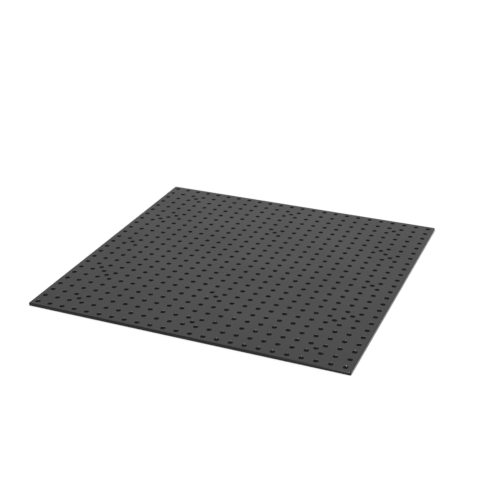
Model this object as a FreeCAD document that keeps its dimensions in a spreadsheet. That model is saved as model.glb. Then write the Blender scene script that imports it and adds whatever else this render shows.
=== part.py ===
import FreeCAD, Part
import os

import Sketcher

# Perforated plate: one flat square plate, drilled all over on a square grid.
#
# The underside lies on z = 0 and the origin is at the middle of it. The columns of holes are
# spread along X and the rows along Y. The plate is as wide as its field of holes and a margin
# on each side.
#
# Between the holes of the field are eighteen fixing holes of the same bore, each in the middle
# of four field holes: a group of three columns and two rows near the front and the back edge,
# and three in a row along the left and the right flank.

# Driving sizes, in millimetres where the note doesn't say that it is a count
SIZES = (
    ("pitch", 25, "from each hole of the field to the next"),
    ("columns", 24, "holes of the field along X, a count"),
    ("rows", 24, "holes of the field along Y, a count"),
    ("margin", 12.5, "from the outermost holes' centres to the plate's edge"),
    ("thickness", 6, "of the plate"),
    ("corner_radius", 3, "of the four upright corners"),
    ("edge_break", 1.2, "chamfer round the top and the bottom outline"),
    ("bore", 9.5, "diameter of every hole, clear for an 8 mm screw"),
    ("mouth_break", 0.25, "chamfer at the upper mouth of every hole"),
    ("rim_cell", 2, "cell of the outermost fixing holes, the cell at the edge being 1, a count"),
    ("side_cell", 3, "cell of the end groups' outer columns, from the side, a count"),
    ("inner_cell", 6, "cell of the end groups' inner rows, from the end, a count"),
    ("flank_step", 5, "pitches between the fixing holes along a flank, a count"),
)
END_GROUP_COLUMNS = 3
END_GROUP_ROWS = 2
FLANK_HOLES = 3
FACES_OF_A_HOLE = 2
FULL_TURN = 360

# From the middle of the plate to the outermost holes of the field
HALF_FIELD_X = "(Sizes.columns - 1) * Sizes.pitch / 2"
HALF_FIELD_Y = "(Sizes.rows - 1) * Sizes.pitch / 2"


def cell_centre(half_field, cell):
    """From the middle of the plate to the centre of a cell, counted from the field's edge."""
    return f"({half_field} - (Sizes.{cell} - 0.5) * Sizes.pitch)"


def make_sheet(doc):
    """The spreadsheet, with one named cell for each driving size."""
    sheet = doc.addObject("Spreadsheet::Sheet", "Sizes")
    for line, (alias, value, note) in enumerate(SIZES, start=1):
        sheet.set(f"A{line}", alias)
        sheet.set(f"B{line}", str(value))
        sheet.set(f"C{line}", note)
        sheet.setAlias(f"B{line}", alias)
    doc.recompute()
    return sheet


def origin_part(body, role):
    """One of the body's own origin planes or axes."""
    return next(part for part in body.Origin.OriginFeatures if part.Role == role)


def add_sketch(body, name, plane):
    """An empty sketch on one of the body's origin planes."""
    sketch = body.newObject("Sketcher::SketchObject", name)
    sketch.AttachmentSupport = [(origin_part(body, plane), "")]
    sketch.MapMode = "FlatFace"
    return sketch


def add_loop(sketch, corners):
    """A closed loop of straight lines, joined end to end."""
    for start, end in zip(corners, corners[1:] + corners[:1]):
        sketch.addGeometry(Part.LineSegment(start, end), False)
    for line in range(len(corners)):
        after = (line + 1) % len(corners)
        sketch.addConstraint(Sketcher.Constraint("Coincident", line, 2, after, 1))


def add_size(sketch, name, expression, kind, *picks):
    """A named size of the sketch, bound to the sheet."""
    value = sketch.evalExpression(expression)
    index = sketch.addConstraint(Sketcher.Constraint(kind, *picks, float(value)))
    sketch.renameConstraint(index, name)
    sketch.setExpression(f"Constraints.{name}", expression)


def draw_outline(body, sheet):
    """The plate's outline, a rectangle centred on the origin."""
    sketch = add_sketch(body, "outline", "XY_Plane")
    half_x = (sheet.columns - 1) * sheet.pitch / 2 + sheet.margin
    half_y = (sheet.rows - 1) * sheet.pitch / 2 + sheet.margin
    corner = FreeCAD.Vector(half_x, half_y, 0)
    add_loop(sketch, [
        FreeCAD.Vector(-corner.x, -corner.y, 0),
        FreeCAD.Vector(corner.x, -corner.y, 0),
        corner,
        FreeCAD.Vector(-corner.x, corner.y, 0),
    ])
    front, right, back, left = range(4)
    for line in (front, back):
        sketch.addConstraint(Sketcher.Constraint("Horizontal", line))
    for line in (right, left):
        sketch.addConstraint(Sketcher.Constraint("Vertical", line))
    sketch.addConstraint(Sketcher.Constraint("Symmetric", front, 1, right, 2, -1, 1))
    add_size(sketch, "width", f"2 * ({HALF_FIELD_X} + Sizes.margin)", "DistanceX", front, 1, front, 2)
    add_size(sketch, "depth", f"2 * ({HALF_FIELD_Y} + Sizes.margin)", "DistanceY", right, 1, right, 2)
    return sketch


def lies_upright(edge):
    """Whether an edge runs straight up."""
    box = edge.BoundBox
    return box.XLength + box.YLength < box.ZLength


def lies_in_a_face(edge, thickness):
    """Whether an edge lies in the top or in the bottom face of the plate."""
    box = edge.BoundBox
    flat = box.ZLength < thickness / 2
    return flat and (box.ZMin < thickness / 4 or box.ZMax > thickness * 3 / 4)


def edge_names(shape, test):
    """The names of the edges of a shape that pass a test."""
    return [f"Edge{number}" for number, edge in enumerate(shape.Edges, start=1) if test(edge)]


def add_blank(doc, body, sheet):
    """The plate before drilling, with rounded corners and broken edges."""
    blank = body.newObject("PartDesign::Pad", "blank")
    blank.Profile = draw_outline(body, sheet)
    blank.setExpression("Length", "Sizes.thickness")
    doc.recompute()

    corners = body.newObject("PartDesign::Fillet", "corners")
    corners.Base = (blank, edge_names(blank.Shape, lies_upright))
    corners.setExpression("Radius", "Sizes.corner_radius")
    doc.recompute()

    edges = body.newObject("PartDesign::Chamfer", "edges")
    names = edge_names(corners.Shape, lambda edge: lies_in_a_face(edge, sheet.thickness))
    edges.Base = (corners, names)
    edges.setExpression("Size", "Sizes.edge_break")
    doc.recompute()
    return edges


def draw_hole_section(body, sheet, name, place_x, place_y):
    """Half of a hole's section, to be turned about the hole's axis.

    It is as deep as the plate and widens at its upper mouth. The sketch stands on the XZ plane,
    whose normal is -Y, so its offset along its own Z is the hole's place in -Y.
    """
    sketch = add_sketch(body, name, "XZ_Plane")
    sketch.setExpression("AttachmentOffset.Base.x", place_x)
    sketch.setExpression("AttachmentOffset.Base.z", f"-({place_y})")
    radius = sheet.bore / 2
    top = sheet.thickness
    add_loop(sketch, [
        FreeCAD.Vector(0, 0, 0),
        FreeCAD.Vector(radius, 0, 0),
        FreeCAD.Vector(radius, top - sheet.mouth_break, 0),
        FreeCAD.Vector(radius + sheet.mouth_break, top, 0),
        FreeCAD.Vector(0, top, 0),
    ])
    lower_mouth, wall, mouth_break, upper_mouth, axis = range(5)
    sketch.addConstraint(Sketcher.Constraint("Coincident", lower_mouth, 1, -1, 1))
    for line in (lower_mouth, upper_mouth):
        sketch.addConstraint(Sketcher.Constraint("Horizontal", line))
    for line in (wall, axis):
        sketch.addConstraint(Sketcher.Constraint("Vertical", line))
    add_size(sketch, "depth", "Sizes.thickness", "DistanceY", axis, 2, axis, 1)
    add_size(sketch, "radius", "Sizes.bore / 2", "DistanceX", lower_mouth, 1, lower_mouth, 2)
    for name, direction in (("mouth_width", "DistanceX"), ("mouth_depth", "DistanceY")):
        add_size(sketch, name, "Sizes.mouth_break", direction, mouth_break, 1, mouth_break, 2)
    return sketch


def drill(body, sheet, name, place_x, place_y):
    """One hole right through the plate."""
    section = draw_hole_section(body, sheet, f"{name}_section", place_x, place_y)
    hole = body.newObject("PartDesign::Groove", name)
    hole.Profile = section
    hole.ReferenceAxis = (section, ["V_Axis"])
    hole.Angle = FULL_TURN
    return hole


def add_row(body, name, axis, count, reach):
    """A step of a pattern: copies along X or Y, the reach being from the first to the last."""
    row = body.newObject("PartDesign::LinearPattern", name)
    row.Direction = (origin_part(body, f"{axis}_Axis"), [""])
    row.setExpression("Occurrences", count)
    row.setExpression("Length", reach)
    return row


def add_mirror(body, name, plane):
    """A step of a pattern: the same again on the far side of a middle plane."""
    mirror = body.newObject("PartDesign::Mirrored", name)
    mirror.MirrorPlane = (origin_part(body, plane), [""])
    return mirror


def add_pattern(body, name, hole, steps):
    """A hole repeated by one step after another."""
    pattern = body.newObject("PartDesign::MultiTransform", name)
    pattern.Originals = [hole]
    pattern.Transformations = steps
    body.Tip = pattern
    return pattern


def add_end_groups(body, sheet):
    """Twelve fixing holes: three columns and two rows at the front, and the same at the back."""
    side_x = cell_centre(HALF_FIELD_X, "side_cell")
    rim_y = cell_centre(HALF_FIELD_Y, "rim_cell")
    hole = drill(body, sheet, "end_hole", f"-{side_x}", f"-{rim_y}")
    between_rows = "(Sizes.inner_cell - Sizes.rim_cell) * Sizes.pitch"
    return add_pattern(body, "end_groups", hole, [
        add_row(body, "end_columns", "X", f"{END_GROUP_COLUMNS}", f"2 * {side_x}"),
        add_row(body, "end_rows", "Y", f"{END_GROUP_ROWS}", between_rows),
        add_mirror(body, "end_mirror", "XZ_Plane"),
    ])


def add_flank_rows(body, sheet):
    """Six fixing holes: three in a row along the left flank, and the same along the right."""
    rim_x = cell_centre(HALF_FIELD_X, "rim_cell")
    reach = f"{FLANK_HOLES - 1} * Sizes.flank_step * Sizes.pitch"
    hole = drill(body, sheet, "flank_hole", f"-{rim_x}", f"-{reach} / 2")
    return add_pattern(body, "flank_rows", hole, [
        add_row(body, "flank_row", "Y", f"{FLANK_HOLES}", reach),
        add_mirror(body, "flank_mirror", "YZ_Plane"),
    ])


def add_field(body, sheet):
    """The field of holes over the whole plate."""
    hole = drill(body, sheet, "field_hole", f"-{HALF_FIELD_X}", f"-{HALF_FIELD_Y}")
    return add_pattern(body, "field", hole, [
        add_row(body, "field_columns", "X", "Sizes.columns", f"2 * {HALF_FIELD_X}"),
        add_row(body, "field_rows", "Y", "Sizes.rows", f"2 * {HALF_FIELD_Y}"),
    ])


def make_plate(doc, sheet):
    """The whole plate, as one body."""
    body = doc.addObject("PartDesign::Body", "perforated_plate")
    body.Label = "perforated_plate"
    blank = add_blank(doc, body, sheet)
    fixing_holes = 2 * END_GROUP_COLUMNS * END_GROUP_ROWS + 2 * FLANK_HOLES
    for add_holes in (add_end_groups, add_flank_rows, add_field):
        add_holes(body, sheet)
    doc.recompute()
    holes = (len(body.Shape.Faces) - len(blank.Shape.Faces)) / FACES_OF_A_HOLE
    if holes != sheet.columns * sheet.rows + fixing_holes:
        raise RuntimeError(f"the plate has {holes} holes")
    return body


def check_document(doc, bodies):
    """Stops if an object failed or a piece has no sound solid."""
    for item in doc.Objects:
        if "Invalid" in item.State or "Error" in item.State:
            raise RuntimeError(f"{item.Name} failed: {item.State}")
    for body in bodies:
        if body.Shape.isNull() or not body.Shape.isValid() or len(body.Shape.Solids) != 1:
            raise RuntimeError(f"{body.Label} isn't one sound solid")


def main():
    doc = FreeCAD.newDocument("PerforatedPlate")
    sheet = make_sheet(doc)
    plate = make_plate(doc, sheet)
    check_document(doc, [plate])
    os.makedirs("parts", exist_ok=True)
    plate.Shape.exportStep(f"parts/{plate.Label}.step")
    box = plate.Shape.BoundBox
    print(f"{plate.Label}: {box.XLength:.3f} x {box.YLength:.3f} x {box.ZLength:.3f} mm,"
          f" {len(plate.Shape.Faces)} faces, {plate.Shape.Volume:.1f} mm3")


main()
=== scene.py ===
"""Looks of the perforated plate: a black anodised sheet, drilled all over, on a white floor."""

import logging
import math
from dataclasses import dataclass, field
from enum import Enum

import bmesh
import bpy
from mathutils import Matrix, Quaternion, Vector


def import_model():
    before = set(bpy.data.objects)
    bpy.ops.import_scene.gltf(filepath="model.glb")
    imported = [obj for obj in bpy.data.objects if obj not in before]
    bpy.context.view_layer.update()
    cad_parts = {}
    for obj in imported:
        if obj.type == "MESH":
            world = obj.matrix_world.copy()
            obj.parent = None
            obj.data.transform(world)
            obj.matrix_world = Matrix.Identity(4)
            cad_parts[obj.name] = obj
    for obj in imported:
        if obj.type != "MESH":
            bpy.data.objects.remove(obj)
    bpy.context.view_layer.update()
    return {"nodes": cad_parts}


LOG = logging.getLogger("perforated_plate")

Tree = bpy.types.NodeTree
Socket = bpy.types.NodeSocket
Dye = tuple[float, float, float]


class Ray(Enum):
    """Kinds of ray that see the plain white surroundings, as the Light Path node names them."""

    CAMERA = "Is Camera Ray"
    GLOSSY = "Is Glossy Ray"
    TRANSMISSION = "Is Transmission Ray"


class Calculation(Enum):
    """What is worked out from one or two numbers, as the Math node names it."""

    SIZE = "ABSOLUTE"
    LARGER = "MAXIMUM"
    PRODUCT = "MULTIPLY"
    ABOVE = "GREATER_THAN"
    BELOW = "LESS_THAN"


class Blend(Enum):
    """What is blended, as the Mix node names it."""

    NUMBER = "FLOAT"
    COLOUR = "RGBA"


class Easing(Enum):
    """How a number passes from one end of a range to the other."""

    STRAIGHT = "LINEAR"
    SMOOTH = "SMOOTHSTEP"


class Axis(Enum):
    """A direction in the plate's frame."""

    X = "X"
    Y = "Y"
    Z = "Z"


def feed(tree: Tree, value: float | tuple[float, ...] | Socket, socket: Socket) -> None:
    """Gives a socket its value.

    Args:
        tree: the node tree that the socket is in.
        value: a number or a colour, or the socket that holds it.
        socket: the socket that takes the value.
    """
    if isinstance(value, bpy.types.NodeSocket):
        tree.links.new(value, socket)
    else:
        socket.default_value = value


def calculate(tree: Tree, kind: Calculation, *numbers: float | Socket) -> Socket:
    """The result of a calculation.

    Args:
        tree: the node tree that gets the node.
        kind: what is worked out.
        numbers: each a number, or the socket that holds it.

    Returns:
        The socket that holds the result.
    """
    node = tree.nodes.new("ShaderNodeMath")
    node.operation = kind.value
    for number, socket in zip(numbers, node.inputs):
        feed(tree, number, socket)
    return node.outputs[0]


def between(tree: Tree, kind: Blend, share: Socket, first: float | tuple[float, ...] | Socket,
            second: float | tuple[float, ...] | Socket) -> Socket:
    """A number or a colour between two others.

    Args:
        tree: the node tree that gets the node.
        kind: whether numbers or colours are blended.
        share: 0 for the first and 1 for the second.
        first: a number or a colour, or the socket that holds it.
        second: a number or a colour, or the socket that holds it.

    Returns:
        The socket that holds the result.
    """
    mix = tree.nodes.new("ShaderNodeMix")
    mix.data_type = kind.value
    feed(tree, share, mix.inputs["Factor"])
    feed(tree, first, mix.inputs["A"])
    feed(tree, second, mix.inputs["B"])
    return mix.outputs["Result"]


def ranged(tree: Tree, number: Socket, start: tuple[float, float], end: tuple[float, float],
           easing: Easing = Easing.STRAIGHT) -> Socket:
    """A number taken from one range to another, and kept inside it.

    Args:
        tree: the node tree that gets the node.
        number: the socket that holds the number.
        start: the two ends of the range that it comes from.
        end: the two ends of the range that it goes to.
        easing: how it passes from one end to the other.

    Returns:
        The socket that holds the result.
    """
    node = tree.nodes.new("ShaderNodeMapRange")
    node.interpolation_type = easing.value
    node.inputs["From Min"].default_value, node.inputs["From Max"].default_value = start
    node.inputs["To Min"].default_value, node.inputs["To Max"].default_value = end
    feed(tree, number, node.inputs["Value"])
    return node.outputs["Result"]


def place_in(tree: Tree) -> Socket:
    """Where a point is on its piece, in metres in the plate's frame."""
    return tree.nodes.new("ShaderNodeTexCoord").outputs["Object"]


def part_of(tree: Tree, vector: Socket, axis: Axis) -> Socket:
    """One of a vector's three numbers.

    Args:
        tree: the node tree that gets the node.
        vector: the socket that holds the vector.
        axis: which number is wanted.

    Returns:
        The socket that holds the number.
    """
    split = tree.nodes.new("ShaderNodeSeparateXYZ")
    tree.links.new(vector, split.inputs["Vector"])
    return split.outputs[axis.value]


def reach_in(tree: Tree) -> Socket:
    """How far a point is from the middle, along X or along Y, whichever is more.

    Args:
        tree: the node tree that gets the nodes.

    Returns:
        The socket that holds the distance, in metres.
    """
    place = place_in(tree)
    along_x = calculate(tree, Calculation.SIZE, part_of(tree, place, Axis.X))
    along_y = calculate(tree, Calculation.SIZE, part_of(tree, place, Axis.Y))
    return calculate(tree, Calculation.LARGER, along_x, along_y)


def sight_in(tree: Tree) -> Socket:
    """A value that is 1 for the rays that show the surroundings, and 0 for those that light.

    Args:
        tree: the node tree that gets the nodes.

    Returns:
        The socket that holds the value.
    """
    path = tree.nodes.new("ShaderNodeLightPath")
    seen = path.outputs[Ray.CAMERA.value]
    for ray in (Ray.GLOSSY, Ray.TRANSMISSION):
        seen = calculate(tree, Calculation.LARGER, seen, path.outputs[ray.value])
    return seen


def opaque(dye: Dye) -> tuple[float, float, float, float]:
    """A dye as a full colour."""
    return (*dye, 1.0)


@dataclass(frozen=True)
class AnodisedFinish:
    """Matt black anodising on aluminium.

    The dye takes a little unevenly and the two flat faces have a fine grain. Neither follows
    the holes, so both are noise on Object coordinates. The cut faces are smoother, so that a
    small lamp glints in the mouths of the holes. Their colour also carries painted light and
    shade: the mouths of the holes are painted lighter, for the light on the upper bore walls,
    the plate's sides are painted darker, and the broken edge round the outline is painted
    nearly black.

    Attributes:
        name: the material's name.
        light_dye: the flat faces where the clouds are lightest.
        deep_dye: the flat faces where the clouds are darkest.
        side_shade_colour: the plate's upright sides, painted darker as painted shade.
        edge_shade_colour: the broken edge round the outline, painted nearly black as painted
            shade.
        bore_dye: the holes below their mouths.
        mouth_light_colour: the mouths of the holes, at the top, painted lighter as painted light.
        mouth_light_from: height in a hole from which the painted light grows, in metres.
        top: height of the top face, in metres.
        cloud_per_metre: how many clouds fit in a metre.
        cloud_detail: how many finer layers the clouds have.
        cloud_ends: the noise's values where the clouds are darkest and lightest.
        flat_roughness: the flat faces where the clouds are darkest and lightest.
        cut_roughness: the cut faces.
        flat_from: how much a face looks up or down, from 0 to 1, to count as flat.
        sloped_from: how much it does to count as a broken edge.
        drilled_to: how far the field of holes reaches from the middle, in metres.
        grain_per_metre: how many grains fit in a metre.
        grain_detail: how many finer layers the grain has.
        grain_height: in metres.
        grain_strength: how much of the grain shows.
        specular: how strongly the surface mirrors, where 0.5 is usual for plastic or paint.
    """

    name: str = "black_anodised"
    light_dye: Dye = (0.0210, 0.0208, 0.0206)
    deep_dye: Dye = (0.0190, 0.0190, 0.0190)
    # Painted shade: the upright sides get a darker colour than the flat faces.
    side_shade_colour: Dye = (0.0150, 0.0150, 0.0150)
    # Painted shade: the broken edge round the outline is nearly black.
    edge_shade_colour: Dye = (0.0030, 0.0030, 0.0030)
    bore_dye: Dye = (0.0200, 0.0200, 0.0200)
    # Painted light: the hole mouths get a lighter colour for the light on the upper bore walls.
    mouth_light_colour: Dye = (0.0900, 0.0900, 0.0900)
    mouth_light_from: float = 0.0045
    top: float = 0.0060
    cloud_per_metre: float = 9.0
    cloud_detail: float = 4.0
    cloud_ends: tuple[float, float] = (0.3, 0.7)
    flat_roughness: tuple[float, float] = (0.36, 0.44)
    cut_roughness: float = 0.18
    flat_from: float = 0.98
    sloped_from: float = 0.30
    drilled_to: float = 0.295
    grain_per_metre: float = 1400.0
    grain_detail: float = 1.0
    grain_height: float = 0.000012
    grain_strength: float = 0.25
    specular: float = 0.2

    def material(self) -> bpy.types.Material:
        """The finish as a node material.

        Returns:
            The material.
        """
        made = bpy.data.materials.new(self.name)
        made.use_nodes = True
        tree = made.node_tree
        shader = tree.nodes["Principled BSDF"]
        shader.inputs["Metallic"].default_value = 0.0
        shader.inputs["Specular IOR Level"].default_value = self.specular
        clouds = self.add_noise(tree, self.cloud_per_metre, self.cloud_detail)
        flat = self.add_upward(tree, self.flat_from)
        tree.links.new(self.add_colour(tree, clouds, flat), shader.inputs["Base Color"])
        tree.links.new(self.add_roughness(tree, clouds, flat), shader.inputs["Roughness"])
        tree.links.new(self.add_grain(tree), shader.inputs["Normal"])
        return made

    def add_noise(self, tree: Tree, per_metre: float, detail: float) -> Socket:
        """Noise from 0 to 1 over the piece.

        Args:
            tree: the material's node tree.
            per_metre: features per metre.
            detail: how many finer layers the noise has.

        Returns:
            The socket that holds the noise.
        """
        noise = tree.nodes.new("ShaderNodeTexNoise")
        noise.inputs["Scale"].default_value = per_metre
        noise.inputs["Detail"].default_value = detail
        tree.links.new(place_in(tree), noise.inputs["Vector"])
        return noise.outputs["Fac"]

    def add_upward(self, tree: Tree, least: float) -> Socket:
        """A value that is 1 on the faces that look up or down, and 0 on steeper ones.

        Args:
            tree: the material's node tree.
            least: the size of the normal's Z part from which a face counts.

        Returns:
            The socket that holds the value.
        """
        normal = tree.nodes.new("ShaderNodeNewGeometry").outputs["True Normal"]
        upright = calculate(tree, Calculation.SIZE, part_of(tree, normal, Axis.Z))
        return calculate(tree, Calculation.ABOVE, upright, least)

    def add_colour(self, tree: Tree, clouds: Socket, flat: Socket) -> Socket:
        """Faint clouds in the dye on the flat faces, and the cut faces' painted light and shade.

        Args:
            tree: the material's node tree.
            clouds: the noise that the dye follows.
            flat: 1 on the top and the underside.

        Returns:
            The socket that holds the colour.
        """
        ramp = tree.nodes.new("ShaderNodeValToRGB")
        low, high = ramp.color_ramp.elements
        low.position, high.position = self.cloud_ends
        low.color, high.color = opaque(self.deep_dye), opaque(self.light_dye)
        tree.links.new(clouds, ramp.inputs["Fac"])
        return between(tree, Blend.COLOUR, flat, self.add_cut_colour(tree), ramp.outputs["Color"])

    def add_cut_colour(self, tree: Tree) -> Socket:
        """The colour of the cut faces: painted light up a bore, painted shade on sides and
        outline.

        Args:
            tree: the material's node tree.

        Returns:
            The socket that holds the colour.
        """
        height = part_of(tree, place_in(tree), Axis.Z)
        # Painted light: the colour grows lighter up each bore towards its mouth.
        mouth_light = ranged(tree, height, (self.mouth_light_from, self.top), (0.0, 1.0))
        bore = between(tree, Blend.COLOUR, mouth_light, opaque(self.bore_dye), opaque(self.mouth_light_colour))
        sloped = self.add_upward(tree, self.sloped_from)
        # Painted shade: darker on the sides, and nearly black on the broken edge round the
        # outline.
        side = between(tree, Blend.COLOUR, sloped, opaque(self.side_shade_colour), opaque(self.edge_shade_colour))
        drilled = calculate(tree, Calculation.BELOW, reach_in(tree), self.drilled_to)
        return between(tree, Blend.COLOUR, drilled, side, bore)

    def add_roughness(self, tree: Tree, clouds: Socket, flat: Socket) -> Socket:
        """Satin flat faces and smooth cut faces.

        Args:
            tree: the material's node tree.
            clouds: the noise that the flat faces' roughness follows.
            flat: 1 on the top and the underside.

        Returns:
            The socket that holds the roughness.
        """
        satin = ranged(tree, clouds, self.cloud_ends, self.flat_roughness)
        return between(tree, Blend.NUMBER, flat, self.cut_roughness, satin)

    def add_grain(self, tree: Tree) -> Socket:
        """The blasted surface's fine grain, as bump.

        Args:
            tree: the material's node tree.

        Returns:
            The socket that holds the bumped normal.
        """
        bump = tree.nodes.new("ShaderNodeBump")
        bump.inputs["Strength"].default_value = self.grain_strength
        bump.inputs["Distance"].default_value = self.grain_height
        grain = self.add_noise(tree, self.grain_per_metre, self.grain_detail)
        tree.links.new(grain, bump.inputs["Height"])
        return bump.outputs["Normal"]


@dataclass
class Plate:
    """The drilled plate, which is one CAD node with its finish."""

    node: str = "perforated_plate"
    slot: str = "black_anodised"
    finish: AnodisedFinish = field(default_factory=AnodisedFinish)

    def dress(self, nodes: dict[str, bpy.types.Object]) -> bpy.types.Object:
        """Gives the CAD node its finish.

        Args:
            nodes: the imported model's nodes by name.

        Returns:
            The dressed node.
        """
        plate = nodes[self.node]
        material = self.finish.material()
        for place in plate.material_slots:
            place.material = material
        return plate


@dataclass
class WhiteFloor:
    """The white paper that the plate lies on.

    The paper takes the plate's shadow. A glow that lights nothing, but shows to the camera and
    in reflections, lifts the paper to plain white. There is none under the plate, a little
    beside it, where the lamps light the paper well, and more further out.

    Attributes:
        reach: how far the paper goes from its middle each way, in metres.
        gap: how far it lies under the plate, in metres, so that the two don't flicker.
        paper: how light the paper is, from 0 to 1.
        glow: strength of the glow beside the plate and far out.
        glow_ends: distances from the middle of the plate for those two, in metres.
        plate_half_width: where the glow starts at the back and the flanks, in metres.
        lit_front: where it starts in front, along Y, in metres.
    """

    reach: float = 12.0
    gap: float = 0.0002
    paper: float = 0.35
    glow: tuple[float, float] = (0.68, 1.0)
    glow_ends: tuple[float, float] = (0.44, 0.9)
    plate_half_width: float = 0.3
    lit_front: float = -0.2990

    def build(self) -> bpy.types.Object:
        """The floor, centred under the plate.

        Returns:
            The floor's object.
        """
        shape = bmesh.new()
        bmesh.ops.create_grid(shape, x_segments=1, y_segments=1, size=self.reach)
        bmesh.ops.translate(shape, vec=Vector((0.0, 0.0, -self.gap)), verts=shape.verts)
        mesh = bpy.data.meshes.new("floor")
        shape.to_mesh(mesh)
        shape.free()
        mesh.materials.append(self.material())
        floor = bpy.data.objects.new("floor", mesh)
        bpy.context.scene.collection.objects.link(floor)
        return floor

    def material(self) -> bpy.types.Material:
        """Matt white paper with the glow that makes it plain white to the eye.

        Returns:
            The material.
        """
        made = bpy.data.materials.new("white_paper")
        made.use_nodes = True
        tree = made.node_tree
        paper = tree.nodes["Principled BSDF"]
        paper.inputs["Base Color"].default_value = opaque((self.paper,) * 3)
        paper.inputs["Roughness"].default_value = 1.0
        paper.inputs["Specular IOR Level"].default_value = 0.0
        seen = calculate(tree, Calculation.PRODUCT, sight_in(tree), self.add_open_floor(tree))
        strength = calculate(tree, Calculation.PRODUCT, seen, self.add_spread(tree))
        glow = tree.nodes.new("ShaderNodeEmission")
        tree.links.new(strength, glow.inputs["Strength"])
        both = tree.nodes.new("ShaderNodeAddShader")
        tree.links.new(paper.outputs["BSDF"], both.inputs[0])
        tree.links.new(glow.outputs["Emission"], both.inputs[1])
        tree.links.new(both.outputs["Shader"], tree.nodes["Material Output"].inputs["Surface"])
        return made

    def add_spread(self, tree: Tree) -> Socket:
        """How strong the glow is, by the distance from the middle of the plate.

        Args:
            tree: the floor material's node tree.

        Returns:
            The socket that holds the strength.
        """
        distance = tree.nodes.new("ShaderNodeVectorMath")
        distance.operation = "LENGTH"
        tree.links.new(place_in(tree), distance.inputs[0])
        return ranged(tree, distance.outputs["Value"], self.glow_ends, self.glow, Easing.SMOOTH)

    def add_open_floor(self, tree: Tree) -> Socket:
        """A value that is 0 under the plate and 1 beside it.

        The key lamp stands in front and lights the paper a little way in under the plate's
        broken edge, so the glow starts there and not below the front face.

        Args:
            tree: the floor material's node tree.

        Returns:
            The socket that holds the value.
        """
        beside = calculate(tree, Calculation.ABOVE, reach_in(tree), self.plate_half_width)
        along_y = part_of(tree, place_in(tree), Axis.Y)
        in_front = calculate(tree, Calculation.BELOW, along_y, self.lit_front)
        return calculate(tree, Calculation.LARGER, beside, in_front)


@dataclass(frozen=True)
class Lamp:
    """A round, soft studio lamp that points at the middle of the plate.

    Attributes:
        name: the lamp's name.
        azimuth: where it stands, in degrees from +X towards +Y.
        elevation: how high it stands, in degrees above the floor.
        distance: how far from the middle of the plate, in metres.
        width: across its face, in metres.
        watts: its power.
    """

    name: str
    azimuth: float
    elevation: float
    distance: float
    width: float
    watts: float

    def build(self) -> bpy.types.Object:
        """The lamp in its place.

        Returns:
            The lamp's object.
        """
        light = bpy.data.lights.new(self.name, "AREA")
        light.shape = "DISK"
        light.size = self.width
        light.energy = self.watts
        lamp = bpy.data.objects.new(self.name, light)
        turn, rise = math.radians(self.azimuth), math.radians(self.elevation)
        outwards = Vector((
            math.cos(turn) * math.cos(rise), math.sin(turn) * math.cos(rise), math.sin(rise)
        ))
        lamp.location = outwards * self.distance
        lamp.rotation_euler = (-outwards).to_track_quat("-Z", "Y").to_euler()
        bpy.context.scene.collection.objects.link(lamp)
        return lamp


@dataclass
class Studio:
    """White surroundings, the floor and the lamps.

    Attributes:
        room_light: how strongly the surroundings light the plate.
        room_seen: how bright they look.
        floor: what the plate lies on.
        lamps: the key lamp in front, and three weaker ones at the right and behind.
    """

    room_light: float = 0.33
    room_seen: float = 1.0
    floor: WhiteFloor = field(default_factory=WhiteFloor)
    lamps: tuple[Lamp, ...] = (
        Lamp("key_lamp", azimuth=-92.5, elevation=54.0, distance=5.0, width=0.4, watts=162.0),
        Lamp("side_lamp", azimuth=22.0, elevation=15.0, distance=4.0, width=1.4, watts=20.0),
        Lamp("right_lamp", azimuth=56.0, elevation=45.0, distance=4.0, width=1.4, watts=18.0),
        Lamp("back_lamp", azimuth=108.0, elevation=39.0, distance=4.0, width=2.0, watts=7.0),
    )

    def build(self) -> None:
        """Sets up the surroundings, the floor and each lamp."""
        self.add_surroundings()
        self.floor.build()
        for lamp in self.lamps:
            lamp.build()

    def add_surroundings(self) -> None:
        """A world that is plain white to the eye and a soft light to the plate."""
        world = bpy.data.worlds.new("white_room")
        world.use_nodes = True
        tree = world.node_tree
        room = tree.nodes["Background"]
        room.inputs["Color"].default_value = (1.0, 1.0, 1.0, 1.0)
        strength = between(tree, Blend.NUMBER, sight_in(tree), self.room_light, self.room_seen)
        tree.links.new(strength, room.inputs["Strength"])
        bpy.context.scene.world = world


@dataclass(frozen=True)
class Framing:
    """How the camera stands and looks.

    Attributes:
        place: where it stands, in metres in the plate's frame.
        aim: the point that it looks at, in metres.
        roll: its turn about the line of sight, in degrees.
        lens: focal length, in millimetres.
        sensor: width of the sensor, in millimetres.
    """

    place: tuple[float, float, float] = (0.65494, -1.60451, 0.86555)
    aim: tuple[float, float, float] = (-0.05205, 0.08918, 0.006)
    roll: float = -0.0286
    lens: float = 75.0
    sensor: float = 36.0

    def build(self) -> bpy.types.Object:
        """The scene's camera.

        Returns:
            The camera's object.
        """
        data = bpy.data.cameras.new("camera")
        data.sensor_fit = "HORIZONTAL"
        data.sensor_width = self.sensor
        data.lens = self.lens
        camera = bpy.data.objects.new("camera", data)
        place = Vector(self.place)
        level = (Vector(self.aim) - place).to_track_quat("-Z", "Y")
        roll = Quaternion((0.0, 0.0, 1.0), math.radians(self.roll))
        camera.matrix_world = Matrix.Translation(place) @ (level @ roll).to_matrix().to_4x4()
        bpy.context.scene.collection.objects.link(camera)
        bpy.context.scene.camera = camera
        return camera


def main() -> None:
    """Dresses the plate, then sets up the studio and the camera."""
    logging.basicConfig(level=logging.INFO, format="%(name)s: %(message)s")
    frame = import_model()
    plate = Plate().dress(frame["nodes"])
    LOG.info("%s dressed, %d triangles", plate.name, len(plate.data.polygons))
    Studio().build()
    LOG.info("studio ready")
    camera = Framing().build()
    LOG.info("%s ready", camera.name)
    bpy.context.scene.view_settings.view_transform = "Standard"


if __name__ == "__main__":
    main()
